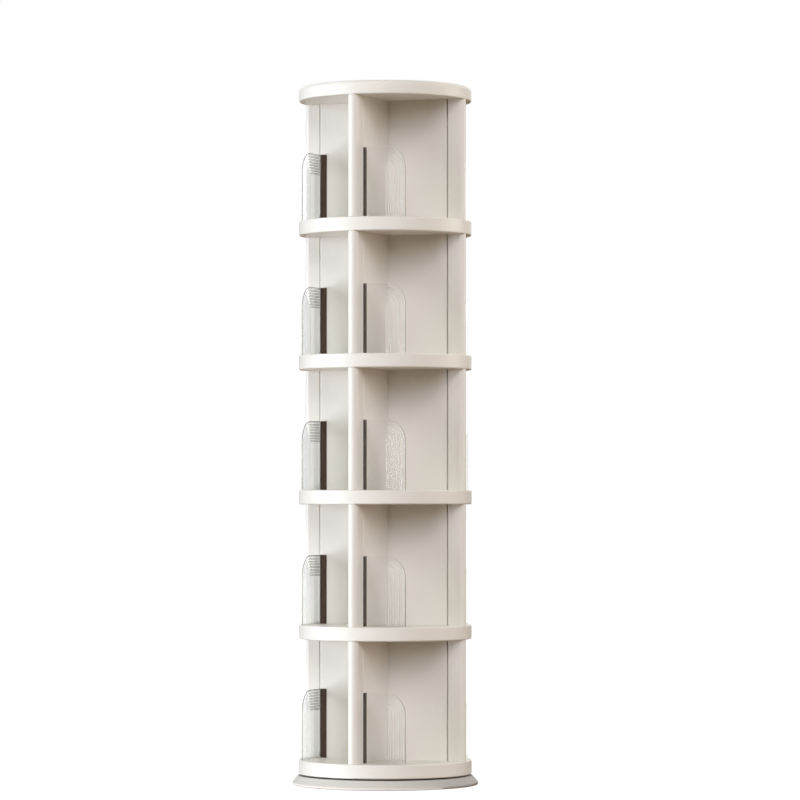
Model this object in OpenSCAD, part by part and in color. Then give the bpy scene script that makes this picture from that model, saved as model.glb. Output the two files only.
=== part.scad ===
// Revolving bookcase. Round hollow trays stand in a stack on a ball-bearing turntable.
// Four upright dividers split each tier into quarters, and a clear ridged bookend is
// pushed into a groove of each divider. A steel pipe down the middle ties the stack.
// Millimetres. The origin is the middle of the floor print, +Z is up, and the front
// divider runs along -Y.

/* [Stack] */
// Number of tiers between the bottom tray and the top plate
tiers = 5; // [2:1:5]
// Clear height of one tier, from tray top to the soffit above
tier_clear = 278; // [220:1:360]
// Diameter of the trays and the top plate
disc_d = 400; // [330:1:500]
// Height of a tray or the top plate
rim_h = 33; // [28:1:44]

/* [Trays] */
// Thickness of the flat skin on top
skin = 3.5; // [2.5:0.5:4.5]
// Thickness of the rim's wall
rim_wall = 6; // [5.5:0.5:8]
// Rounding of a tray's rim, top and bottom
rim_round = 3; // [2:0.5:9]
// Rounding of the top plate's upper edge
top_round = 11; // [4:0.5:11]
// Rounding of the top plate's lower edge
top_under_round = 3; // [1:0.5:9]
// Width of the lip round the soffit
lip_w = 14; // [12:0.5:22]
// Height of the lip round the soffit
lip_h = 8; // [7:0.5:10]
// Thickness of the ribs under the skin
rib_t = 2.5; // [1.5:0.5:4]
// Outer radius of the hub round the pipe
hub_r = 19; // [16:0.5:22]
// Thickness of the soffit panel that closes a tray from below
soffit_t = 3; // [2:0.5:4]
// Gap round the soffit panel
soffit_gap = 0.3; // [0.1:0.1:0.6]
// Width of a soffit clip
clip_w = 12; // [8:1:20]
// Radial reach of a soffit clip over the lip
clip_reach = 3; // [1.5:0.5:4]

/* [Dividers] */
// Thickness of the post at the outer end, which is also the width of its round nose
post_t = 25; // [20:0.5:32]
// Length of the post from its nose to the groove
post_l = 39; // [30:1:60]
// Thickness of the board between the post and the centre
board_t = 24; // [18:0.5:30]
// Wall of the hollow section
divider_wall = 2.5; // [1.5:0.5:3]
// Depth of the groove in each face
groove_d = 8; // [4:0.5:8]
// Small rounding of the groove's edges
groove_round = 1.2; // [0.5:0.1:2]
// Gap between the pipe and the dividers' inner ends
well_gap = 1; // [0.5:0.25:2]
// Gap between the mitred inner ends
mitre_gap = 0.2; // [0.1:0.1:0.5]

/* [Bookends] */
// Height of a bookend
bookend_h = 160; // [100:1:200]
// Thickness of the clear sheet
sheet_t = 3; // [2:0.5:4]
// Gap on each side of the sheet in its groove
sheet_gap = 0.2; // [0.1:0.1:0.4]
// How far the bookend's outer edge stays inside the rim
bookend_inset = 3.2; // [1:0.2:12]
// Radius of the bookend's round corner
arch_r = 48; // [30:1:70]
// Number of raised ridges that follow the corner
ridges = 8; // [3:1:8]
// Spacing of the ridges
ridge_pitch = 6.3; // [4:0.1:7]
// Width of a ridge
ridge_w = 3.6; // [2:0.1:4]
// Height of a ridge above the sheet
ridge_up = 0.8; // [0.4:0.1:1.2]
// Width of the soft grip strip behind the sheet
grip_w = 15; // [8:1:24]
// Thickness of the grip strip
grip_t = 2; // [1:0.5:3]

/* [Centre pipe] */
// Outer radius of the pipe
pipe_r = 8; // [6:0.5:8]
// Wall of the pipe
pipe_wall = 1.5; // [1:0.25:2.5]
// Gap between the pipe and a hub
pipe_gap = 0.3; // [0.1:0.1:0.5]
// Radius of the flange at the foot of the pipe
flange_r = 40; // [34:1:46]
// Thickness of the flange
flange_t = 3; // [2:0.5:3]
// Outer radius of the nut in the top plate
nut_r = 13; // [11:0.5:14]
// Height of the nut
nut_h = 17; // [10:1:22]
// Running gap between the pipe and its flange and nut
thread_gap = 0.05; // [0.01:0.01:0.1]

/* [Pegs] */
// Diameter of a locating peg
peg_d = 8; // [6:0.5:9]
// Length of a locating peg
peg_l = 20; // [12:1:22]
// Gap round a peg
peg_gap = 0.1; // [0.05:0.05:0.3]
// Wall round a peg's hole
peg_wall = 2.6; // [2:0.2:3]
// Distance of the inner pegs from the dividers' inner ends
peg_from_well = 36; // [30:1:46]
// Distance of the outer pegs from the groove
peg_from_groove = 18; // [12:1:30]

/* [Turntable] */
// Gap between the base and the bottom tray
turn_gap = 3.5; // [2.5:0.5:6]
// Height of the base
base_h = 22; // [20:1:34]
// How far the base's top edge stands outside the trays
base_lip = 2.5; // [0:0.5:8]
// How far the base's foot stands outside the trays
foot_lip = 15.5; // [12:0.5:18]
// Rounding round the foot
foot_round = 4; // [2:0.5:5]
// Thickness of the base's skin
base_skin = 3; // [2:0.5:4]
// Mean radius of the ball track
track_r = 75; // [65:1:90]
// Radius of a ball
ball_r = 3; // [2.5:0.25:3]
// Number of balls
balls = 24; // [12:1:30]
// Thickness of a race
race_t = 3.5; // [3:0.5:4]
// Gap between the two races
race_gap = 2; // [1.5:0.25:3]
// Clearance round a ball in its track
ball_gap = 0.1; // [0.05:0.05:0.2]
// Width of a race inside its track
race_inner_w = 15; // [12:1:24]
// Width of a race outside its track
race_outer_w = 19; // [17:1:26]
// Thickness of the ball cage
cage_t = 1.2; // [0.8:0.1:1.4]
// Width of the ball cage
cage_w = 12; // [10:0.5:16]

/* [Feet and screws] */
// Number of rubber feet
feet = 8; // [4:1:12]
// Radius of a foot pad
foot_pad_r = 12.5; // [8:0.5:14]
// Thickness of a foot pad
foot_pad_t = 4; // [3:0.5:5]
// How far a foot pad stands out below the base
foot_lift = 1; // [0.75:0.25:2]
// Distance of the foot pads from the rim of the trays
foot_in = 16; // [16:1:40]
// Radius of a screw's shank
screw_r = 2; // [1.5:0.25:2.5]
// Radius of a screw's head
head_r = 3.6; // [3:0.2:4]
// Height of a screw's countersunk head
head_h = 1.8; // [1.4:0.1:2]
// Length of a screw
screw_l = 11; // [9:1:12]
// Gap round a screw
screw_gap = 0.05; // [0.01:0.01:0.1]
// Wall round a screw's hole in a boss
screw_wall = 3; // [2:0.5:4]
// Metal between the head of a race's screw and the edge of the race
screw_edge = 3.4; // [2:0.2:5]
// Distance of the flange's screws from its rim
flange_edge = 12; // [8:1:14]

/* [Hidden] */
$fn = 96;
sides = ["front", "right", "back", "left"];
disc_r = disc_d / 2;
lip_r = disc_r - lip_w;
bottom_z = base_h + turn_gap;
pitch = rim_h + tier_clear;
top_z = bottom_z + tiers * pitch;

// How far a cut runs past the face that it opens
cut = 1;
// How far a rib or a clip reaches into what it grows from
bite = 1;
// Plain clearance of parts that aren't pressed together
fit = 0.3;

groove_w = sheet_t + 2 * sheet_gap;
groove_out = disc_r - post_l;
groove_in = groove_out - groove_w;
groove_mid = groove_out - groove_w / 2;
web_t = board_t - 2 * groove_d;
bookend_y = sqrt(pow(disc_r - bookend_inset, 2) - pow(groove_mid, 2));
arch_y = bookend_y - arch_r;
arch_z = bookend_h - arch_r;
ridge_edge = 0.7;
ridge_gap = 1;
ridge_start = post_t / 2 + ridge_gap;
tongue_gap = 0.5;

pipe_hole_r = pipe_r + pipe_gap;
pipe_foot_z = bottom_z - flange_t;
peg_r = peg_d / 2;
peg_hole_r = peg_r + peg_gap;
peg_boss_r = peg_hole_r + peg_wall;
peg_end_gap = 0.5;
well_half = pipe_r + well_gap;
peg_places = [well_half + peg_from_well, groove_in - peg_from_groove];
clip_angles = [for (k = [0 : 7]) 22.5 + 45 * k];
clip_t = 2.5;
clip_hook_t = 2;
clip_rise = lip_h + soffit_gap + clip_hook_t;
slot_h = 5;

race_in = track_r - race_inner_w;
race_out = track_r + race_outer_w;
race_screw_r = race_out - head_r - screw_edge;
ball_z = bottom_z - race_t - race_gap / 2;
recess_z = bottom_z - 2 * race_t - race_gap;
recess_gap = 1.5;
recess_r = race_out + recess_gap;
flange_screw_r = flange_r - flange_edge;
screw_boss_r = screw_r + screw_wall;
screw_tip_gap = 1;

base_top_r = disc_r + base_lip;
foot_r = disc_r + foot_lip;
foot_ring_r = disc_r - foot_in;

plastic = [0.95, 0.94, 0.91];
plastic_low = [0.88, 0.87, 0.85];
steel = [0.72, 0.73, 0.75];

// Height of tray t above the floor, counted from 1 at the bottom. Tray tiers + 1 is the top plate
function disc_z(t) = bottom_z + (t - 1) * pitch;

// Height of the surface that the books of tier t stand on
function floor_z(t) = disc_z(t) + rim_h;

// Turn from +X to the divider on side s
function side_angle(s) = 90 * (s - 1);

// Half section of a disc: radius along X, height along Y, both rim edges rounded
module disc_section(r_top, r_bottom) {
    square([disc_r - max(r_top, r_bottom), rim_h]);
    square([disc_r - r_bottom, r_bottom]);
    translate([0, r_bottom]) square([disc_r, rim_h - r_top - r_bottom]);
    translate([0, rim_h - r_top]) square([disc_r - r_top, r_top]);
    translate([disc_r - r_bottom, r_bottom]) circle(r_bottom);
    translate([disc_r - r_top, rim_h - r_top]) circle(r_top);
}

// Disc open from below, with a lip round the place of the soffit panel
module hollow_disc(r_top, r_bottom) {
    rotate_extrude()
        difference() {
            disc_section(r_top, r_bottom);
            square([lip_r, rim_h - skin]);
            translate([0, lip_h]) square([disc_r - rim_wall, rim_h - skin - lip_h]);
        }
}

// Hub, ring rib and four diagonal ribs that stand on the soffit panel
module disc_ribs() {
    rib_h = rim_h - soffit_t - skin / 2;
    translate([0, 0, soffit_t]) {
        cylinder(r = hub_r, h = rib_h);
        difference() {
            cylinder(r = track_r + rib_t / 2, h = rib_h);
            translate([0, 0, -cut]) cylinder(r = track_r - rib_t / 2, h = rib_h + 2 * cut);
        }
        for (a = [45 : 90 : 315])
            rotate(a)
                translate([hub_r - bite, -rib_t / 2, 0])
                    cube([lip_r - hub_r - clip_reach, rib_t, rib_h]);
    }
}

// Slots in the lip, through which the soffit's clips are let go
module clip_slots() {
    for (a = clip_angles)
        rotate(a)
            translate([lip_r - cut, -clip_w / 2 - fit, -cut])
                cube([clip_reach + 2 * cut, clip_w + 2 * fit, slot_h + cut]);
}

// Places of the pegs along each of the four dividers
module at_pegs() {
    for (a = [0 : 90 : 270])
        for (x = peg_places)
            rotate(a) translate([x, 0, 0]) children();
}

// Places of the four screws on a circle, in line with the dividers
module at_screws(r) {
    for (a = [0 : 90 : 270])
        rotate(a) translate([r, 0, 0]) children();
}

// One tray with its ribs and the blind holes for the pegs on top
module tray_at(t) {
    hole_z = rim_h - peg_l / 2 - peg_end_gap;
    color(plastic)
        translate([0, 0, disc_z(t)])
            difference() {
                union() {
                    hollow_disc(rim_round, rim_round);
                    disc_ribs();
                    at_pegs() translate([0, 0, hole_z - skin]) cylinder(r = peg_boss_r, h = rim_h - hole_z);
                    if (t == 1) {
                        screw_bosses(race_screw_r);
                        screw_bosses(flange_screw_r);
                    }
                }
                translate([0, 0, -cut]) cylinder(r = pipe_hole_r, h = rim_h + 2 * cut);
                at_pegs() translate([0, 0, hole_z]) cylinder(r = peg_hole_r, h = rim_h);
                clip_slots();
                if (t == 1) {
                    screw_holes(race_screw_r, race_t);
                    screw_holes(flange_screw_r, flange_t);
                }
            }
}

// Bosses over the soffit that the underside screws bite in
module screw_bosses(r) {
    at_screws(r) translate([0, 0, soffit_t]) cylinder(r = screw_boss_r, h = rim_h - soffit_t - skin / 2);
}

// Holes for screws whose heads lie below the disc by the thickness of what they hold
module screw_holes(r, held_t) {
    depth = screw_l - held_t + screw_tip_gap;
    at_screws(r) translate([0, 0, -cut]) cylinder(r = screw_r + screw_gap, h = depth + cut);
}

// Top plate: a plain skin above, with the nut's pocket in its hub
module top_plate() {
    color(plastic)
        translate([0, 0, top_z])
            difference() {
                union() {
                    hollow_disc(top_round, top_under_round);
                    disc_ribs();
                }
                cylinder(r = nut_r + fit, h = soffit_t + nut_h + fit);
                clip_slots();
            }
}

// Panel that closes a disc from below, clipped over the lip
module soffit(pegged) {
    hole_h = peg_l / 2 + peg_end_gap;
    difference() {
        union() {
            cylinder(r = lip_r - soffit_gap, h = soffit_t);
            for (a = clip_angles) rotate(a) soffit_clip();
            if (pegged) at_pegs() cylinder(r = peg_boss_r, h = soffit_t + hole_h);
        }
        translate([0, 0, -cut]) cylinder(r = pipe_hole_r, h = soffit_t + 2 * cut);
        if (pegged)
            at_pegs() translate([0, 0, -cut]) cylinder(r = peg_hole_r, h = hole_h + cut);
        else {
            screw_holes(race_screw_r, race_t);
            screw_holes(flange_screw_r, flange_t);
        }
    }
}

// Upright clip on the soffit's edge with a hook that lies over the lip
module soffit_clip() {
    from = lip_r - soffit_gap - clip_t - bite;
    translate([from, -clip_w / 2, 0]) cube([clip_t, clip_w, clip_rise]);
    translate([from, -clip_w / 2, lip_h + soffit_gap])
        cube([clip_t + bite + clip_reach, clip_w, clip_hook_t]);
}

module soffit_panels() {
    color(plastic)
        for (t = [1 : tiers + 1])
            translate([0, 0, disc_z(t)]) soffit(t > 1);
}

// Outline of the board: mitred at the well, with small roundings at the groove
module board_outline() {
    half = board_t / 2;
    shift = mitre_gap / 2 * sqrt(2);
    polygon([
        [well_half + shift, -well_half],
        [half + shift, -half],
        [groove_in - groove_round, -half],
        [groove_in - groove_round, half],
        [half + shift, half],
        [well_half + shift, well_half]
    ]);
    translate([groove_in - 2 * groove_round, groove_round - half])
        square([2 * groove_round, board_t - 2 * groove_round]);
    for (y = [-1, 1])
        translate([groove_in - groove_round, y * (half - groove_round)]) circle(groove_round);
}

// Outline of the post: half-round nose flush with the rim, small roundings at the groove
module post_outline() {
    half = post_t / 2;
    translate([groove_out + groove_round, -half]) square([post_l - half - groove_round, post_t]);
    translate([groove_out, groove_round - half]) square([2 * groove_round, post_t - 2 * groove_round]);
    translate([disc_r - half, 0]) circle(half);
    for (y = [-1, 1])
        translate([groove_out + groove_round, y * (half - groove_round)]) circle(groove_round);
}

// Chambers of the hollow section, parted by webs that hold the ducts for the pegs
module divider_chambers() {
    half = board_t / 2 - divider_wall;
    nose = post_t / 2 - divider_wall;
    from = board_t / 2 + divider_wall;
    to = groove_in - divider_wall - groove_round;
    difference() {
        translate([from, -half]) square([to - from, 2 * half]);
        for (x = peg_places) {
            translate([x, 0]) circle(peg_boss_r);
            translate([x - divider_wall / 2, -half]) square([divider_wall, 2 * half]);
        }
        translate([(peg_places[0] + peg_places[1]) / 2 - divider_wall / 2, -half])
            square([divider_wall, 2 * half]);
    }
    for (x = peg_places) translate([x, 0]) circle(peg_hole_r);
    translate([groove_out + divider_wall + groove_round, -nose])
        square([post_l - post_t / 2 - divider_wall - groove_round, 2 * nose]);
    translate([disc_r - post_t / 2, 0]) circle(nose);
}

// One divider: board, web behind the grooves and post, all one hollow section
module divider_at(s, t) {
    color(plastic)
        translate([0, 0, floor_z(t)])
            rotate(side_angle(s))
                linear_extrude(tier_clear)
                    difference() {
                        union() {
                            board_outline();
                            post_outline();
                            translate([groove_in - 2 * groove_round, -web_t / 2])
                                square([groove_w + 4 * groove_round, web_t]);
                        }
                        divider_chambers();
                    }
}

// Outline of the clear sheet: Y along the sheet, Z up drawn as Y of the flat shape
module sheet_outline() {
    root = board_t / 2 - groove_d + tongue_gap;
    translate([root, 0]) square([bookend_y - root, arch_z]);
    translate([root, 0]) square([arch_y - root, bookend_h]);
    translate([arch_y, arch_z]) circle(arch_r);
}

// One ridge that runs in from the divider, round the corner and down to the tray
module ridge_outline(r) {
    translate([ridge_start, arch_z + r - ridge_w / 2]) square([arch_y - ridge_start, ridge_w]);
    translate([arch_y + r - ridge_w / 2, 0]) square([ridge_w, arch_z]);
    intersection() {
        translate([arch_y, arch_z])
            difference() {
                circle(r + ridge_w / 2);
                if (r > ridge_w / 2) circle(r - ridge_w / 2);
            }
        translate([arch_y, arch_z]) square(arch_r);
    }
}

// One bookend: the sheet in its groove and the ridges on its outward face
module bookend_at(s, t) {
    color([0.86, 0.88, 0.88, 0.45])
        translate([0, 0, floor_z(t)])
            rotate(side_angle(s))
                translate([groove_mid - sheet_t / 2, 0, 0])
                    rotate([90, 0, 90]) {
                        linear_extrude(sheet_t) sheet_outline();
                        translate([0, 0, sheet_t / 2])
                            linear_extrude(sheet_t / 2 + ridge_up)
                                for (i = [0 : ridges - 1])
                                    ridge_outline(arch_r - ridge_edge - ridge_w / 2 - i * ridge_pitch);
                    }
}

// Soft strips on the dividers' faces, right behind the sheets
module bookend_grips() {
    color([0.27, 0.2, 0.16])
        for (t = [1 : tiers])
            for (s = [0 : 3])
                translate([0, 0, floor_z(t)])
                    rotate(side_angle(s))
                        translate([groove_mid - sheet_t / 2 - grip_w, board_t / 2, 0])
                            cube([grip_w, grip_t, bookend_h]);
}

// Pegs at the foot and the head of each divider
module locating_pegs() {
    color([0.9, 0.86, 0.76])
        for (t = [1 : tiers])
            for (z = [floor_z(t), floor_z(t) + tier_clear])
                translate([0, 0, z - peg_l / 2])
                    at_pegs() cylinder(r = peg_r, h = peg_l);
}

module ring(r_in, r_out, h) {
    difference() {
        cylinder(r = r_out, h = h);
        translate([0, 0, -cut]) cylinder(r = r_in, h = h + 2 * cut);
    }
}

module centre_pipe() {
    color(steel)
        translate([0, 0, pipe_foot_z])
            ring(pipe_r - pipe_wall, pipe_r, top_z + soffit_t + nut_h - pipe_foot_z);
}

module pipe_flange() {
    color(steel)
        translate([0, 0, pipe_foot_z])
            difference() {
                ring(pipe_r + thread_gap, flange_r, flange_t);
                at_screws(flange_screw_r) screw_hollow();
            }
}

module pipe_top_nut() {
    color(steel)
        translate([0, 0, top_z + soffit_t])
            ring(pipe_r + thread_gap, nut_r, nut_h);
}

// Countersunk screw that points up, with the face of its head at z = 0
module screw(extra) {
    cylinder(r1 = head_r + extra, r2 = screw_r + extra, h = head_h);
    cylinder(r = screw_r + extra, h = screw_l);
}

// The room that a screw takes in a plate
module screw_hollow() {
    screw(screw_gap);
    translate([0, 0, -cut]) cylinder(r = head_r + screw_gap, h = cut);
}

module underside_screws() {
    color(steel) {
        translate([0, 0, bottom_z - race_t]) at_screws(race_screw_r) screw(0);
        translate([0, 0, pipe_foot_z]) at_screws(flange_screw_r) screw(0);
    }
}

module bearing_lower_screws() {
    color(steel)
        translate([0, 0, recess_z + race_t])
            mirror([0, 0, 1]) at_screws(race_screw_r) screw(0);
}

// Race with its ball track, the track's centre above the race's upper face
module race() {
    difference() {
        ring(race_in, race_out, race_t);
        rotate_extrude() translate([track_r, race_t + race_gap / 2]) circle(ball_r + ball_gap);
        translate([0, 0, race_t]) mirror([0, 0, 1]) at_screws(race_screw_r) screw_hollow();
    }
}

module bearing_lower_race() {
    color(steel) translate([0, 0, recess_z]) race();
}

module bearing_upper_race() {
    color(steel) translate([0, 0, bottom_z]) mirror([0, 0, 1]) race();
}

module bearing_cage() {
    color([0.25, 0.26, 0.28])
        translate([0, 0, ball_z - cage_t / 2])
            difference() {
                ring(track_r - cage_w / 2, track_r + cage_w / 2, cage_t);
                at_balls() translate([0, 0, -cut])
                    cylinder(r = ball_r + fit, h = cage_t + 2 * cut, $fn = 48);
            }
}

module at_balls() {
    for (i = [0 : balls - 1])
        rotate(360 / balls * (i + 0.5)) translate([track_r, 0, 0]) children();
}

module bearing_balls() {
    color(steel) translate([0, 0, ball_z]) at_balls() sphere(r = ball_r, $fn = 48);
}

// Outline of the base: a straight flare that touches the rounding of the foot
module base_outline() {
    foot_x = foot_r - foot_round;
    foot_y = foot_lift + foot_round;
    run = foot_x - base_top_r;
    drop = base_h - foot_y;
    reach = sqrt(run * run + drop * drop);
    slope = atan2(drop, run) - asin(foot_round / reach);
    side = sqrt(reach * reach - foot_round * foot_round);
    polygon([
        [0, base_h],
        [base_top_r, base_h],
        [base_top_r + side * cos(slope), base_h - side * sin(slope)],
        [foot_x, foot_y],
        [foot_x, foot_lift],
        [0, foot_lift]
    ]);
    translate([foot_x, foot_y]) circle(foot_round);
}

// Half section of the base: its outline, hollow from below, with a recess on top for the race
module base_section() {
    difference() {
        base_outline();
        translate([0, recess_z]) square([recess_r, base_h]);
        square([recess_r + base_skin, recess_z - base_skin]);
        translate([recess_r + base_skin, 0])
            square([base_top_r - 2 * base_skin - recess_r, base_h - base_skin]);
    }
}

module at_feet() {
    for (i = [0 : feet - 1])
        rotate(360 / feet * (i + 0.5)) translate([foot_ring_r, 0, 0]) children();
}

module base_shell() {
    color(plastic_low)
        difference() {
            union() {
                rotate_extrude() base_section();
                intersection() {
                    base_ribs();
                    rotate_extrude() base_core_section();
                }
                at_feet() translate([0, 0, foot_lift])
                    cylinder(r = foot_pad_r + base_skin, h = base_h - base_skin / 2 - foot_lift);
                at_screws(race_screw_r)
                    translate([0, 0, recess_z - screw_l])
                        cylinder(r = screw_boss_r, h = screw_l - base_skin / 2);
            }
            at_feet() cylinder(r = foot_pad_r + fit, h = foot_pad_t);
            translate([0, 0, recess_z + race_t])
                mirror([0, 0, 1]) at_screws(race_screw_r) cylinder(r = screw_r + screw_gap, h = screw_l);
        }
}

// Hub and radial ribs under the base's skin
module base_ribs() {
    translate([0, 0, foot_pad_t]) {
        cylinder(r = hub_r, h = base_h);
        for (a = [0 : 45 : 315])
            rotate(a) translate([hub_r - bite, -rib_t / 2, 0]) cube([base_top_r - hub_r, rib_t, base_h]);
    }
}

// Room under the base's skin, into which its ribs reach
module base_core_section() {
    step_r = recess_r + base_skin / 2;
    square([step_r, recess_z - base_skin / 2]);
    translate([step_r, 0]) square([base_top_r - base_skin / 2 - step_r, base_h - base_skin / 2]);
}

module base_feet() {
    color([0.2, 0.2, 0.2]) at_feet() cylinder(r = foot_pad_r, h = foot_pad_t);
}

base_shell();
base_feet();
bearing_lower_race();
bearing_lower_screws();
bearing_cage();
bearing_balls();
bearing_upper_race();
underside_screws();
centre_pipe();
pipe_flange();
pipe_top_nut();
locating_pegs();
soffit_panels();
bookend_grips();
top_plate();
for (t = [1 : tiers]) {
    tray_at(t);
    for (s = [0 : 3]) {
        divider_at(s, t);
        bookend_at(s, t);
    }
}
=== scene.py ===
import math

import bmesh
import bpy
import numpy as np
from mathutils import Matrix, Vector


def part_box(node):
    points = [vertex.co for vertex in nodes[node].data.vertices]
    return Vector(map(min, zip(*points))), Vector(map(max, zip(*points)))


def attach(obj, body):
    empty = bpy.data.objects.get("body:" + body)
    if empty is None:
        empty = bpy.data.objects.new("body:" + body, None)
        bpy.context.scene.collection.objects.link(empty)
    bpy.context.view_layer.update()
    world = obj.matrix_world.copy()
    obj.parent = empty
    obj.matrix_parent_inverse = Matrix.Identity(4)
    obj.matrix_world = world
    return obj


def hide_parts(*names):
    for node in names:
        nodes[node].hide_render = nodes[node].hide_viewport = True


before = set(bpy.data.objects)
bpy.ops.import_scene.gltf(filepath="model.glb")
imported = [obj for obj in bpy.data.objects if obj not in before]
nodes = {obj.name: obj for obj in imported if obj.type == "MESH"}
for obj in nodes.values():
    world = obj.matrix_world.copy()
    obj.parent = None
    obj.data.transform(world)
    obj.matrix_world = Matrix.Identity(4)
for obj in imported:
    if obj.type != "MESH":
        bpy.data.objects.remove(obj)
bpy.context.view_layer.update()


# Camera
# A long lens nine metres away keeps the uprights parallel. It stands at the height of the
# third tray, a quarter of the way round from the front divider to the right one.
camera_azimuth = math.radians(22.5)
camera_distance = 9.09
camera_height = 0.676
look_up = math.radians(1.343)
look_right = math.radians(0.215)

lens = bpy.data.cameras.new("camera")
lens.sensor_width = 36
lens.lens = 176.5
lens.clip_end = 200
camera = bpy.data.objects.new("camera", lens)
bpy.context.scene.collection.objects.link(camera)
camera_turn = (
    Matrix.Rotation(camera_azimuth - look_right, 4, "Z")
    @ Matrix.Rotation(math.pi / 2 + look_up, 4, "X")
)
camera_place = Matrix.Translation((
    camera_distance * math.sin(camera_azimuth),
    -camera_distance * math.cos(camera_azimuth),
    camera_height,
))
camera.matrix_world = camera_place @ camera_turn
bpy.context.scene.camera = camera


# Rubber feet
# Eight round pads of soft black rubber, pressed into sockets under the base. Each has a
# rounded rim and shallow rings on its sole, which grip the floor.
merge_distance = 1e-6
flat_distance = 1e-7
sharp_angle = math.radians(30)
small_turn = 48


class Wire:
    """What comes out of a shader node. Arithmetic on it adds Math nodes to the same tree."""

    def __init__(self, tree, socket=None):
        self.tree = tree
        self.socket = socket

    def node(self, kind, settings, inputs, output=0):
        """Adds a node: its settings are set first, then the value or link of each socket named."""
        made = self.tree.nodes.new("ShaderNode" + kind)
        for key, value in settings.items():
            setattr(made, key, value)
        for key, value in inputs.items():
            if isinstance(value, Wire):
                self.tree.links.new(value.socket, made.inputs[key])
            else:
                made.inputs[key].default_value = value
        return Wire(self.tree, made.outputs[output])

    def maths(self, operation, *values):
        return self.node("Math", {"operation": operation}, dict(enumerate(values)))

    def __add__(self, other):
        return self.maths("ADD", self, other)

    def __rsub__(self, other):
        return self.maths("SUBTRACT", other, self)

    def __mul__(self, other):
        return self.maths("MULTIPLY", self, other)

    __radd__ = __add__
    __rmul__ = __mul__

    def noise(self, scale, detail=2.0, roughness=0.5):
        """Cloudy noise from 0 to 1 that reads this vector; scale is in lumps per metre."""
        inputs = {"Vector": self, "Scale": scale, "Detail": detail, "Roughness": roughness}
        return self.node("TexNoise", {}, inputs)

    def stretch(self, x, y, z):
        """This vector with each axis multiplied, so that a pattern on it is squeezed or drawn out."""
        return self.node("VectorMath", {"operation": "MULTIPLY"}, {0: self, 1: (x, y, z)})

    def step(self, low, high):
        """Runs smoothly from 0 where this is low to 1 where it is high."""
        settings = {"interpolation_type": "SMOOTHSTEP"}
        return self.node("MapRange", settings, {"Value": self, "From Min": low, "From Max": high})

    def blend(self, first, second):
        """Colour that is the first where this is 0 and the second where it is 1."""
        return self.node("Mix", {"data_type": "RGBA"}, {0: self, 6: first, 7: second}, 2)

    def bump(self, depth):
        """Surface normal of this height, which is depth metres from 0 to 1."""
        return self.node("Bump", {}, {"Height": self, "Distance": depth, "Strength": 1.0})


def new_finish(name, fixed):
    """A material with the shader's constants set, and the place of each surface point in metres."""
    material = bpy.data.materials.new(name)
    material.use_nodes = True
    for socket, value in fixed.items():
        material.node_tree.nodes["Principled BSDF"].inputs[socket].default_value = value
    place = Wire(material.node_tree).node("TexCoord", {}, {}, "Object")
    return material, place


def drive(material, sockets):
    """Lets wires set sockets of the material's shader."""
    shader = material.node_tree.nodes["Principled BSDF"]
    for socket, wire in sockets.items():
        material.node_tree.links.new(wire.socket, shader.inputs[socket])


def arc(centre, radius, start, end, steps):
    """Points on a circle: centre plus radius times the cosine and sine of evenly spaced degrees."""
    angle = np.radians(np.linspace(start, end, steps))
    return np.array(centre) + radius * np.column_stack([np.cos(angle), np.sin(angle)])


def lathe(outline, steps):
    """An outline of radius and height turned about Z: x and y are the radius times the cosine
    and sine of the turn. Rows go round the axis, columns along the outline, which starts and
    ends on the axis or ends where it starts."""
    turn = np.linspace(0, 2 * math.pi, steps + 1)[:, None]
    radius, height = np.asarray(outline).T
    return np.stack([radius * np.cos(turn), radius * np.sin(turn), height + 0 * turn], -1)


def turned(points, degrees):
    """Points turned about Z by that many degrees."""
    angle = math.radians(degrees)
    along = (math.cos(angle), math.sin(angle), 0)
    across = (-math.sin(angle), math.cos(angle), 0)
    return points @ np.array([along, across, (0, 0, 1)])


def build(name, grids, caps=()):
    """A mesh piece from grids of points, with quads between neighbours, and flat caps. Rows and
    columns that meet are merged, and faces are turned outwards."""
    points = [grid.reshape(-1, 3) for grid in grids] + list(caps)
    first = np.cumsum([0] + [len(part) for part in points])
    faces = []
    for grid, start in zip(grids, first):
        rows, columns = grid.shape[:2]
        corner = start + np.arange(rows - 1)[:, None] * columns + np.arange(columns - 1)
        quads = np.stack([corner, corner + 1, corner + columns + 1, corner + columns], -1)
        faces += quads.reshape(-1, 4).tolist()
    for cap, start in zip(caps, first[len(grids):]):
        faces.append(list(range(start, start + len(cap))))
    mesh = bpy.data.meshes.new(name)
    mesh.from_pydata(np.vstack(points), [], faces)
    shape = bmesh.new()
    shape.from_mesh(mesh)
    bmesh.ops.remove_doubles(shape, verts=shape.verts, dist=merge_distance)
    bmesh.ops.dissolve_degenerate(shape, edges=shape.edges, dist=flat_distance)
    bmesh.ops.recalc_face_normals(shape, faces=shape.faces)
    shape.to_mesh(mesh)
    shape.free()
    mesh.shade_smooth()
    mesh.set_sharp_from_angle(angle=sharp_angle)
    piece = bpy.data.objects.new(name, mesh)
    bpy.context.scene.collection.objects.link(piece)
    even = piece.modifiers.new("even shading", "WEIGHTED_NORMAL")
    even.keep_sharp = True
    return piece


def settle(piece, material, body, slot, *replaced):
    """Gives a new piece its material and its body, and hides the nodes that it stands for. The slot is
    not used.
    """
    piece.data.materials.append(material)
    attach(piece, body)
    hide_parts(*replaced)


feet_low, feet_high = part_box("base_feet")
foot_count = 8
foot_step = 360 / foot_count
foot_turn = foot_step / 2
foot_radius = 0.0125
foot_ring = (feet_high.x - foot_radius) / math.cos(math.radians(foot_turn))
foot_edge = 0.0012
foot_edge_steps = 6
sole_rings = 4
ring_depth = 0.0004
ring_steps = 16

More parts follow.
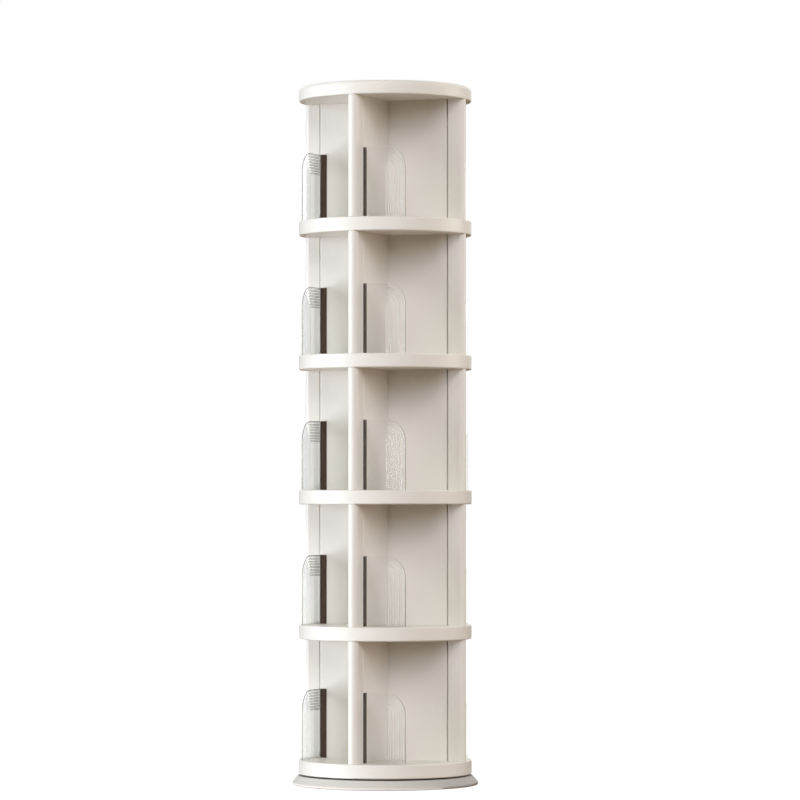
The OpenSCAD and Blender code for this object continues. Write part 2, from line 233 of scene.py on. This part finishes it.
foot_rubber, place = new_finish("foot rubber", {"Specular IOR Level": 0.35})
grain = place.noise(2200, 3)
dust = place.noise(60, 4).step(0.45, 0.75)
drive(foot_rubber, {
    "Base Color": dust.blend((0.02, 0.02, 0.021, 1), (0.055, 0.052, 0.048, 1)),
    "Roughness": 0.62 + 0.25 * grain,
    "Normal": grain.bump(0.00008),
})


def foot_outline():
    """Half section of a pad: a flat top, a side with both edges rounded, and a sole whose rings
    follow a raised cosine of the radius, so the sole rises ring_depth between the rings."""
    height = feet_high.z - feet_low.z
    flat = foot_radius - foot_edge
    lower = arc((flat, foot_edge), foot_edge, -90, 0, foot_edge_steps)
    upper = arc((flat, height - foot_edge), foot_edge, 0, 90, foot_edge_steps)
    radius = np.linspace(0, flat, ring_steps * sole_rings)[:-1]
    wave = 0.5 - 0.5 * np.cos(2 * math.pi * sole_rings * radius / flat)
    sole = np.column_stack([radius, ring_depth * wave])
    return np.vstack([sole, lower, upper, [[0, height]]])


foot = lathe(foot_outline(), small_turn) + (foot_ring, 0, feet_low.z)
feet = [turned(foot, foot_turn + foot_step * number) for number in range(foot_count)]
settle(build("rubber_feet", feet), foot_rubber, "base", "foot_rubber", "base_feet")


# Base shell
# The fixed ring under the stack, moulded in a plastic a little greyer than the trays. Its colour is
# made darker still, which paints the shade that falls on it beneath the stack. Under its thin skin are
# a hub and eight ribs, sockets for the feet and bosses for the race's screws.
base_plastic, place = new_finish("base plastic", {"Specular IOR Level": 0.4})
spark = place.noise(1800, 2)
tone = place.noise(7, 3)
speck = place.noise(160, 5, 0.7).step(0.62, 0.8)
# The base's grey is partly its plastic and partly painted shade.
grey_and_painted_shade = tone.blend((0.56, 0.532, 0.497, 1), (0.60, 0.572, 0.535, 1))
drive(base_plastic, {
    "Base Color": (speck * 0.25).blend(grey_and_painted_shade, (0.5, 0.48, 0.45, 1)),
    "Roughness": 0.42 + 0.18 * spark,
    "Normal": spark.bump(0.00005),
})
base_low, base_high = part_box("base_shell")
base_top = base_high.z
base_foot = base_low.z
base_skin = 0.003
rim_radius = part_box("tray_1")[1].x
base_lip = 0.0025
flare_top = rim_radius + base_lip
flare_foot = base_high.x
flare_edge = 0.0008
foot_round = 0.004
recess_radius = 0.0955
recess_floor = 0.0165
base_turn = 360
rib_count = 8
rib_thick = 0.0025
rib_foot = 0.004
hub_radius = 0.019
socket_gap = 0.0003
socket_radius = foot_radius + socket_gap
screw_count = 4
screw_ring = 0.087
screw_boss = 0.005
screw_end = 0.0055
overlap = 0.001
under_recess = recess_floor - base_skin + overlap
under_ring = base_top - base_skin + overlap


def base_outline():
    """Half section of the shell. Its flare is a straight line that touches the rounding of the
    foot: it leaves the top edge at the slope to the rounding's centre, less the angle whose sine
    is the rounding's radius over that distance. Below are the hollows, above is the recess."""
    centre = np.array([flare_foot - foot_round, base_foot + foot_round])
    run, drop = centre[0] - flare_top, base_top - centre[1]
    slope = math.degrees(math.atan2(drop, run) - math.asin(foot_round / math.hypot(run, drop)))
    inner = recess_radius + base_skin
    outer = flare_top - base_skin
    edge_height = base_top - flare_edge
    return np.vstack([
        [[0, recess_floor], [recess_radius, recess_floor]],
        arc((recess_radius + flare_edge, edge_height), flare_edge, 180, 90, 4),
        arc((flare_top - flare_edge, edge_height), flare_edge, 90, 90 - slope, 5),
        arc(centre, foot_round, 90 - slope, -90, 14),
        [[outer, base_foot], [outer, base_top - base_skin], [inner, base_top - base_skin]],
        [[inner, recess_floor - base_skin], [0, recess_floor - base_skin]],
    ])


def post(radius, low, high):
    """A round post on the axis: its half section, a rectangle, turned about Z."""
    return lathe([(0, low), (radius, low), (radius, high), (0, high)], small_turn)


def rib(inner, outer, top):
    """A rib along X: the four corners of its section as a closed loop, at its two ends."""
    half = rib_thick / 2
    section = [(-half, rib_foot), (half, rib_foot), (half, top), (-half, top), (-half, rib_foot)]
    return np.array([[(reach, y, z) for y, z in section] for reach in (inner, outer)])


cup_radius = foot_radius + base_skin
cup = [(0, rib_foot), (socket_radius, rib_foot), (socket_radius, base_foot)]
cup += [(cup_radius, base_foot), (cup_radius, under_ring), (0, under_ring)]
foot_cup = lathe(cup, small_turn) + (foot_ring, 0, 0)
screw_post = post(screw_boss, screw_end, under_recess) + (screw_ring, 0, 0)
ribs = [
    rib(hub_radius - overlap, recess_radius + overlap, under_recess),
    rib(recess_radius + overlap, flare_top - base_skin + overlap, under_ring),
]
base_grids = [lathe(base_outline(), base_turn), post(hub_radius, rib_foot, under_recess)]
base_grids += [turned(screw_post, 360 / screw_count * number) for number in range(screw_count)]
base_grids += [turned(foot_cup, foot_turn + foot_step * number) for number in range(foot_count)]
base_caps = []
for number in range(rib_count):
    for rib_walls in ribs:
        walls = turned(rib_walls, 360 / rib_count * number)
        base_grids.append(walls)
        base_caps += [walls[0, :-1], walls[1, :-1]]
base = build("flared_base", base_grids, base_caps)
settle(base, base_plastic, "base", "base_plastic", "base_shell")


# Ball bearing
# Two races of zinc-plated pressed steel, screwed to the base and under the bottom tray, with
# a ring of polished balls between them in a dark nylon cage.
race_steel, place = new_finish("race steel", {"Metallic": 1.0})
brushed = place.stretch(1, 1, 30).noise(90, 5, 0.6)
bloom = place.noise(25, 4)
drive(race_steel, {
    "Base Color": bloom.blend((0.50, 0.51, 0.53, 1), (0.62, 0.62, 0.60, 1)),
    "Roughness": 0.24 + 0.22 * brushed,
    "Normal": brushed.bump(0.00003),
})
ball_steel, place = new_finish("ball steel", {"Metallic": 1.0})
drive(ball_steel, {
    "Base Color": place.noise(300, 2).blend((0.70, 0.71, 0.73, 1), (0.76, 0.77, 0.79, 1)),
    "Roughness": 0.04 + 0.08 * place.noise(900, 3),
})
cage_nylon, place = new_finish("cage nylon", {"Specular IOR Level": 0.4})
drive(cage_nylon, {
    "Base Color": place.noise(120, 3).blend((0.025, 0.026, 0.028, 1), (0.04, 0.041, 0.043, 1)),
    "Roughness": 0.4 + 0.2 * place.noise(500, 2),
    "Normal": place.noise(1500, 2).bump(0.00004),
})
screw_steel, place = new_finish("screw steel", {"Metallic": 1.0})
drive(screw_steel, {
    "Base Color": place.noise(200, 3).blend((0.55, 0.54, 0.50, 1), (0.66, 0.65, 0.60, 1)),
    "Roughness": 0.25 + 0.2 * place.noise(1400, 3),
})


def finish_nodes(material, *names):
    """Gives nodes that are shown with the CAD's own shapes their material."""
    for name in names:
        nodes[name].data.materials.clear()
        nodes[name].data.materials.append(material)


finish_nodes(race_steel, "bearing_lower_race", "bearing_upper_race")
finish_nodes(ball_steel, "bearing_balls")
finish_nodes(cage_nylon, "bearing_cage")
finish_nodes(screw_steel, "bearing_lower_screws", "underside_screws")


# Trays
# Five round trays and the top plate, hollow mouldings in warm white satin plastic, each closed
# from below by a panel with clips. The skin has the faint orange peel of a moulded face and shows
# where things have been slid in and out.
tray_plastic, place = new_finish("tray plastic", {"Specular IOR Level": 0.45})
flow = place.stretch(1, 1, 4).noise(5, 3)
peel = place.noise(420, 2)
scuff = place.stretch(1, 1, 8).noise(70, 6, 0.7).step(0.56, 0.75)
cream = flow.blend((0.785, 0.75, 0.695, 1), (0.815, 0.785, 0.735, 1))
drive(tray_plastic, {
    "Base Color": (scuff * 0.18).blend(cream, (0.70, 0.66, 0.60, 1)),
    "Roughness": 0.32 + 0.1 * peel + 0.16 * scuff,
    "Normal": peel.bump(0.0002),
})
tiers = range(1, 6)
finish_nodes(tray_plastic, *[f"tray_{tier}" for tier in tiers], "top_plate", "soffit_panels")


# Centre pipe
# A drawn steel pipe, screwed into a flange under the bottom tray and held by a nut in the top
# plate. It clamps the whole stack together.
pipe_steel, place = new_finish("pipe steel", {"Metallic": 1.0})
drawn = place.stretch(12, 12, 0.3).noise(80, 4)
drive(pipe_steel, {
    "Base Color": drawn.blend((0.56, 0.57, 0.58, 1), (0.66, 0.66, 0.66, 1)),
    "Roughness": 0.22 + 0.2 * drawn,
    "Normal": drawn.bump(0.00002),
})
finish_nodes(pipe_steel, "centre_pipe", "pipe_flange", "pipe_top_nut")


# Locating pegs
# Turned beech pegs that stand half in a tray and half in a divider. Their grain runs upright,
# with short dark pores.
peg_beech, place = new_finish("peg beech", {"Specular IOR Level": 0.3})
fibre = place.stretch(9, 9, 0.5).noise(120, 5, 0.6)
pore = place.stretch(6, 6, 0.6).noise(420, 2).step(0.62, 0.7)
beech = fibre.blend((0.56, 0.40, 0.24, 1), (0.72, 0.56, 0.37, 1))
drive(peg_beech, {
    "Base Color": (pore * 0.5).blend(beech, (0.30, 0.18, 0.09, 1)),
    "Roughness": 0.55 + 0.2 * fibre,
    "Normal": fibre.bump(0.0001),
})
finish_nodes(peg_beech, "locating_pegs")


# Dividers
# Twenty upright boards, four to a tier, extruded hollow in the trays' plastic. Each ends in a
# round-nosed post behind a groove. Above the bookend a strip pushed into the groove closes it.
sides = ("front", "right", "back", "left")
quarter = 90
post_width = 0.025
board_width = 0.024
groove_inner = 0.1576
groove_outer = 0.161
groove_floor = 0.004
groove_edge = 0.0012
well = 0.009
mitre = 0.00014
groove_steps = 6
nose_steps = 14
end_softness = 0.0006
end_steps = 4
strip_depth = 0.001
strip_grip = 0.0001
bookend_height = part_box("bookend_right_1")[1].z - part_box("bookend_right_1")[0].z

divider_plastic, place = new_finish("divider plastic", {"Specular IOR Level": 0.45})
drawn = place.stretch(1, 1, 0.04).noise(260, 3)
peel = place.noise(500, 2)
tone = place.noise(6, 3)
cream = tone.blend((0.785, 0.75, 0.695, 1), (0.815, 0.785, 0.735, 1))
scuff = place.stretch(1, 1, 0.4).noise(90, 6, 0.7).step(0.58, 0.76)
drive(divider_plastic, {
    "Base Color": (scuff * 0.16).blend(cream, (0.70, 0.66, 0.60, 1)),
    "Roughness": 0.34 + 0.1 * peel + 0.14 * scuff,
    "Normal": (0.6 * drawn + 0.4 * peel).bump(0.0002),
})


def divider_outline():
    """Plan of a divider along X: a mitred inner end, the board's face, the groove with rounded
    edges, the post's face, and a half circle that ends flush with the rim. The other side is the
    same outline with Y turned over."""
    half_board = board_width / 2
    half_post = post_width / 2
    side = np.vstack([
        [[well + mitre, well], [half_board + mitre, half_board]],
        arc((groove_inner - groove_edge, half_board - groove_edge), groove_edge, 90, 0, groove_steps),
        [[groove_inner, groove_floor], [groove_outer, groove_floor]],
        arc((groove_outer + groove_edge, half_post - groove_edge), groove_edge, 180, 90, groove_steps),
        arc((rim_radius - half_post, 0), half_post, 90, 0, nose_steps),
    ])
    other = side[-2::-1] * (1, -1)
    return np.vstack([side, other])[::-1]


def drawn_in(outline, inset):
    """The outline moved inwards by inset, each point along the mean of its two edges' normals."""
    ahead = np.roll(outline, -1, 0) - outline
    ahead = ahead / np.linalg.norm(ahead, axis=1, keepdims=True)
    normal = np.column_stack([ahead[:, 1], -ahead[:, 0]])
    mean = normal + np.roll(normal, 1, 0)
    mean = mean / np.sum(mean * normal, 1, keepdims=True)
    return outline - inset * mean


def extrude_soft(outline, low, high, softness):
    """The outline carried straight up, with both ends rounded along a quarter circle: at the angle
    a it is drawn in by softness times 1 - sin a, and is softness times 1 - cos a from the end."""
    angle = np.radians(np.linspace(0, 90, end_steps))
    inset = softness * (1 - np.sin(angle))
    short = softness * (1 - np.cos(angle))
    heights = np.concatenate([low + short, high - short[::-1]])
    insets = np.concatenate([inset, inset[::-1]])
    rings = []
    for height, inward in zip(heights, insets):
        ring = drawn_in(outline, inward)
        ring = np.vstack([ring, ring[:1]])
        rings.append(np.column_stack([ring, np.full(len(ring), height)]))
    return np.array(rings)


def strip_outline():
    """Plan of the closing strip: a rectangle that ends strip_depth below the board's face and
    reaches strip_grip into the walls and the floor of the groove."""
    inner = groove_inner - strip_grip
    outer = groove_outer + strip_grip
    floor_y = groove_floor - strip_grip
    face_y = board_width / 2 - strip_depth
    return np.array([[inner, floor_y], [outer, floor_y], [outer, face_y], [inner, face_y]])


for tier in tiers:
    low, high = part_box(f"divider_right_{tier}")
    upright = extrude_soft(divider_outline(), low.z, high.z, end_softness)
    closing = extrude_soft(strip_outline(), low.z + bookend_height, high.z, end_softness)
    for number, side in enumerate(sides):
        walls = [turned(wall, quarter * number - quarter) for wall in (upright, closing)]
        ends = [wall[place, :-1] for wall in walls for place in (0, -1)]
        piece = build(f"upright_{side}_{tier}", walls, ends)
        settle(piece, divider_plastic, "carousel", "divider_plastic", f"divider_{side}_{tier}")


# Bookend grips, painted shade
# Strips of foam stuck to the dividers right behind the bookends. Their dark brown is painted shade for
# the shadow between a divider and the edge of its bookend. Their outer edges are rounded and the open
# cells of the foam roughen them.
grip_width = 0.015
grip_thick = 0.002
grip_round = 0.0007
grip_softness = 0.0003
grip_steps = 5
sheet_inner = 0.1578

shade_strip_foam, place = new_finish("shade strip foam", {"Specular IOR Level": 0.25})
cells = place.noise(1500, 4, 0.7)
tone = place.noise(30, 3)
drive(shade_strip_foam, {
    # These dark browns are painted shade for the gap behind the bookend's edge.
    "Base Color": tone.blend((0.052, 0.033, 0.022, 1), (0.075, 0.05, 0.034, 1)),
    "Roughness": 0.7 + 0.25 * cells,
    "Normal": cells.bump(0.0002),
})


def shade_strip_outline():
    """Plan of a strip: flat against the board, with the two outer edges rounded."""
    inner = sheet_inner - grip_width
    face = board_width / 2
    reach = grip_thick - grip_round
    return np.vstack([
        [[inner, face], [sheet_inner, face]],
        arc((sheet_inner - grip_round, face + reach), grip_round, 0, 90, grip_steps),
        arc((inner + grip_round, face + reach), grip_round, 90, 180, grip_steps),
    ])


strips = []
strip_ends = []
for tier in tiers:
    low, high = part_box(f"bookend_right_{tier}")
    upright = extrude_soft(shade_strip_outline(), low.z, high.z, grip_softness)
    for number in range(len(sides)):
        strip = turned(upright, quarter * number)
        strips.append(strip)
        strip_ends += [strip[0, :-1], strip[-1, :-1]]
settle(build("shade_strips", strips, strip_ends), shade_strip_foam, "carousel", "grip_rubber", "bookend_grips")


# Bookends
# Twenty clear mouldings, each pushed into the groove of a divider. Eight rounded ridges follow
# the polished edge, in from the divider, round the upper corner and down to the tray.
sheet_thick = 0.003
sheet_middle = 0.1593
sheet_root = 0.0045
sheet_reach = 0.11556
corner_radius = 0.048
ridge_count = 8
ridge_pitch = 0.0063
ridge_half = 0.0018
ridge_height = 0.0008
ridge_first = 0.0455
ridge_start = 0.0135
ridge_steps = 11
fade_before = 0.0005
fade_after = 0.0015
corner_steps = 25
foot_gap = 0.0002
polish = 0.0006
polish_steps = 5

clear_acrylic, place = new_finish("clear acrylic", {
    "Base Color": (0.965, 0.975, 0.975, 1),
    "Transmission Weight": 1.0,
    "IOR": 1.49,
})
haze = place.noise(40, 4)
nick = place.stretch(1, 1, 3).noise(380, 5, 0.75).step(0.66, 0.78)
drive(clear_acrylic, {
    "Roughness": 0.012 + 0.03 * haze + 0.2 * nick,
    "Normal": place.noise(14, 1).bump(0.00008),
})


def ridge_profile():
    """Section across the ridges: distance from the corner's centre, offset of the face from the
    sheet's middle, and height of a ridge there. A ridge is an arc of a circle whose radius, crown,
    follows from half its width and its height: half the sum of their squares over the height. The
    innermost ridge is squeezed on the side where it would pass the centre."""
    half = sheet_thick / 2
    crown = (ridge_half**2 + ridge_height**2) / (2 * ridge_height)
    back = arc((corner_radius - polish, polish - half), polish, -90, 0, polish_steps)
    front = arc((corner_radius - polish, half - polish), polish, 0, 90, polish_steps)
    edge = np.vstack([[[0, -half]], back, front])
    rows = [np.column_stack([edge, np.zeros(len(edge))])]
    for number in range(ridge_count):
        centre = ridge_first - number * ridge_pitch
        inner = min(ridge_half, centre)
        across = np.linspace(1, -1, ridge_steps)
        offset = np.where(across > 0, ridge_half, inner) * across
        height = np.sqrt(crown**2 - (ridge_half * across) ** 2) - crown + ridge_height
        rows.append(np.column_stack([centre + offset, np.full(ridge_steps, half), height]))
    return np.vstack(rows)


def bookend_parts():
    """A bookend beside the right-hand divider. The section is carried along the arch: each place
    on the way has an anchor and a direction, and a point lies at the anchor plus its distance
    times the direction. A fade of 0 leaves the ridges out at the groove. The flat field inside
    the arch fills the rest."""
    arch_y = sheet_reach - corner_radius
    arch_z = bookend_height - corner_radius
    near = np.array([sheet_root, ridge_start - fade_before, ridge_start + fade_after, arch_y])
    near_fade = np.array([0.0, 0.0, 1.0, 1.0])
    corner = arc((0, 0), 1, 90, 0, corner_steps)[1:-1]
    down = np.linspace(arch_z, foot_gap, 3)
    anchors = np.vstack([
        np.column_stack([near, np.full(len(near), arch_z)]),
        np.tile([arch_y, arch_z], (len(corner), 1)),
        np.column_stack([np.full(len(down), arch_y), down]),
    ])
    ways = np.vstack([
        np.tile([0.0, 1.0], (len(near), 1)),
        corner,
        np.tile([1.0, 0.0], (len(down), 1)),
    ])
    fades = np.concatenate([near_fade, np.ones(len(corner) + len(down))])
    distance, face, height = ridge_profile().T
    across = anchors[:, None, :] + ways[:, None, :] * distance[None, :, None]
    radial = sheet_middle + face[None, :] + height[None, :] * fades[:, None]
    band = np.dstack([radial, across])
    half = sheet_thick / 2
    field_y, field_z = np.meshgrid(near, down, indexing="ij")
    front = np.dstack([np.full(field_y.shape, sheet_middle + half), field_y, field_z])
    back = front - (sheet_thick, 0, 0)
    foot = np.stack([front[:, -1], back[:, -1]])
    root = np.stack([front[0], back[0]])
    return [band, front, back, foot, root], [band[0], band[-1]]


grids, caps = bookend_parts()
for tier in tiers:
    rise = np.array([0, 0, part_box(f"bookend_right_{tier}")[0].z])
    for number, side in enumerate(sides):
        degrees = quarter * number - quarter
        piece = build(
            f"clear_end_{side}_{tier}",
            [turned(grid + rise, degrees) for grid in grids],
            [turned(cap + rise, degrees) for cap in caps],
        )
        settle(piece, clear_acrylic, "carousel", "clear_acrylic", f"bookend_{side}_{tier}")


# Studio
# A plain pale floor, which is seen but lights nothing, under a white sky that gives little light.
# Six broad soft lights stand far away, the strongest a window on the left. A warm lamp fills the
# right side, and a panel on the floor stands for the light that it throws back on the base.
floor_paint, place = new_finish("floor paint", {
    "Roughness": 0.9,
    "Specular IOR Level": 0.1,
    "Emission Color": (1, 1, 1, 1),
    "Emission Strength": 0.62,
})
paint = place.noise(0.6, 2).blend((0.86, 0.86, 0.86, 1), (0.88, 0.88, 0.88, 1))
drive(floor_paint, {"Base Color": paint})
reach = 80.0
corners = [(-reach, -reach, 0), (reach, -reach, 0), (reach, reach, 0), (-reach, reach, 0)]
floor_mesh = bpy.data.meshes.new("floor")
floor_mesh.from_pydata(corners, [], [(0, 1, 2, 3)])
floor = bpy.data.objects.new("floor", floor_mesh)
bpy.context.scene.collection.objects.link(floor)
floor.data.materials.append(floor_paint)
floor.visible_diffuse = False
floor.visible_glossy = False
floor.visible_shadow = False


def toward(around, up):
    """Unit vector from the bookcase to a light: degrees to the camera's right, degrees up."""
    around = camera_azimuth + math.radians(around)
    up = math.radians(up)
    return Vector((math.sin(around) * math.cos(up), -math.cos(around) * math.cos(up), math.sin(up)))


def lamp(name, kind, strength, colour, back):
    """A lamp of that kind at the origin, which shines against the vector that points back at it."""
    light = bpy.data.lights.new(name, kind)
    light.energy = strength
    light.color = colour
    lamp_object = bpy.data.objects.new(name, light)
    lamp_object.rotation_euler = back.to_track_quat("Z", "Y").to_euler()
    bpy.context.scene.collection.objects.link(lamp_object)
    return lamp_object


def sun(name, strength, colour, back, spread):
    """Light from far away, as soft as from a disk that looks spread degrees wide."""
    light = lamp(name, "SUN", strength, colour, back)
    light.data.angle = math.radians(spread)
    return light


def disk_lamp(name, strength, colour, back, place, width):
    """Light from a round panel at that place, width metres across."""
    panel = lamp(name, "AREA", strength, colour, back)
    panel.data.shape = "DISK"
    panel.data.size = width
    panel.location = place
    return panel


def limit_light(light, piece, state):
    """Lets a light reach only that piece (state INCLUDE), or all but that piece (EXCLUDE)."""
    lit = bpy.data.collections.new(light.name + " limit")
    lit.objects.link(piece)
    lit.collection_objects[0].light_linking.link_state = state
    light.light_linking.receiver_collection = lit


sun("window", 3.6, (0.86, 0.92, 1.0), toward(-80, -4), 50)
sun("high front light", 0.7, (0.97, 1.0, 0.78), toward(-16, 45), 50)
low_light = sun("low front light", 1.66, (0.95, 0.93, 1.0), toward(15, 25), 40)
top_light = sun("softer light on the top plate", 1.66, (0.95, 0.93, 1.0), toward(15, 25), 75)
side_light = sun("side light", 0.6, (1.0, 0.85, 0.74), toward(80, 5), 80)
sun("back light", 1.2, (1.0, 0.98, 0.95), toward(165, 35), 70)

fill_distance = 2.2
fill_height = 1.5
fill_width = 1.2
fill_way = toward(100, 0)
fill_place = fill_way * fill_distance + Vector((0, 0, fill_height))
fill = disk_lamp("warm fill", 12.5, (0.97, 1.0, 0.92), fill_way, fill_place, fill_width)

bounce_distance = 0.35
bounce_height = 0.002
bounce_width = 0.7
down_way = Vector((0, 0, -1))
bounce_place = toward(-35, 0) * bounce_distance - down_way * bounce_height
bounce = disk_lamp("floor bounce", 0.95, (1.0, 0.98, 0.95), down_way, bounce_place, bounce_width)
bounce.visible_camera = False
bounce.visible_transmission = False

# The base gets the floor's light, but not the two lights on its right. The top plate's upper
# face would glare in the low front light, so it has a softer one of its own.
limit_light(bounce, base, "INCLUDE")
limit_light(fill, base, "EXCLUDE")
limit_light(side_light, base, "EXCLUDE")
limit_light(low_light, nodes["top_plate"], "EXCLUDE")
limit_light(top_light, nodes["top_plate"], "INCLUDE")

# The sky is white where it is seen, also through the clear sheets, and dim where it gives light.
# Below the horizon its light is the warm light that the floor would throw up.
sky = bpy.data.worlds.new("sky")
sky.use_nodes = True
bpy.context.scene.world = sky
sky_wire = Wire(sky.node_tree)
direct = sky_wire.node("LightPath", {}, {}, "Is Camera Ray")
through = sky_wire.node("LightPath", {}, {}, "Is Transmission Ray")
bounces = sky_wire.node("LightPath", {}, {}, "Diffuse Depth")
seen = direct + through * sky_wire.maths("LESS_THAN", bounces, 0.5)
way = sky_wire.node("TexCoord", {}, {}, "Generated")
upward = way.node("SeparateXYZ", {}, {0: way}, "Z")
floor_glow = 0.18
sky_glow = 0.03
horizon_low = -0.2
horizon_high = 0.1
horizon = upward.step(horizon_low, horizon_high)
glow = floor_glow + (sky_glow - floor_glow) * horizon
tint = horizon.blend((1.0, 0.62, 0.25, 1), (1, 1, 1, 1))
background = sky.node_tree.nodes["Background"]
sky.node_tree.links.new(seen.blend(tint, (1, 1, 1, 1)).socket, background.inputs["Color"])
sky.node_tree.links.new((glow + (1 - glow) * seen).socket, background.inputs["Strength"])
bpy.context.scene.view_settings.view_transform = "Standard"
